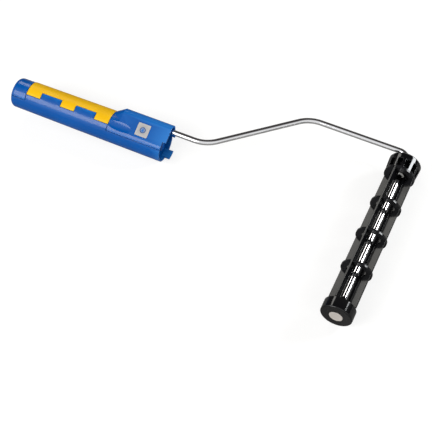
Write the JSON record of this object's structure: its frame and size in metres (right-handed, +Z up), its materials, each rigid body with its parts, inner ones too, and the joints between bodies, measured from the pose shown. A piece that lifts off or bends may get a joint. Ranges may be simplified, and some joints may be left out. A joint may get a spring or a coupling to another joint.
{
  "type": "paint roller frame",
  "caption": "Paint roller frame: two-shell handle with a soft inlay and a pole socket, bent round-steel arm and a freely spinning slotted cage for a roller cover.",
  "frame": {"origin": "centre of the mouth of the extension-pole socket, at the rear face of the handle", "axes": "+X forward along the handle, -X out of the socket; +Y towards the arm's last leg, so that the cage hangs from it towards -Y; +Z up, normal to the plane of the bent arm"},
  "size_m": [0.588, 0.2886, 0.0657],
  "materials": {
    "blue_plastic": "satin moulded, deep blue",
    "soft_yellow": "matt soft inlay",
    "plate": "satin pale grey",
    "emblem": "satin blue",
    "bright_rod": "bright plated",
    "black_plastic": "glossy black",
    "pale_disc": "matt beige grey",
    "inner_plastic": "matt dark grey",
    "bearing_plastic": "natural acetal",
    "zinc_steel": "zinc plated"
  },
  "bodies": {
    "handle": {"upper_shell": "blue_plastic", "lower_shell": "blue_plastic", "grip_inlay": "soft_yellow", "pole_sleeve": "inner_plastic", "badge_plate": "plate", "badge_emblem": "emblem", "rod_saddle": "inner_plastic", "rod_cross_pin": "zinc_steel", "saddle_screws": "zinc_steel", "shell_screws": "zinc_steel", "arm_rod": "bright_rod", "axle_collar": "zinc_steel", "thrust_washer": "bearing_plastic", "tip_washer": "zinc_steel", "axle_clip": "zinc_steel"},
    "cage": {"crown": "black_plastic", "inner_bush": "bearing_plastic", "cage_core": "black_plastic", "end_cap": "black_plastic", "outer_bush": "bearing_plastic", "end_disc": "pale_disc"}
  },
  "joints": [
    {"name": "cage_spin", "type": "hinge", "parent": "handle", "child": "cage", "pos_m": [0.565, -0.03272, 0.01925], "axis": [0, 1, 0], "continuous": true}
  ]
}
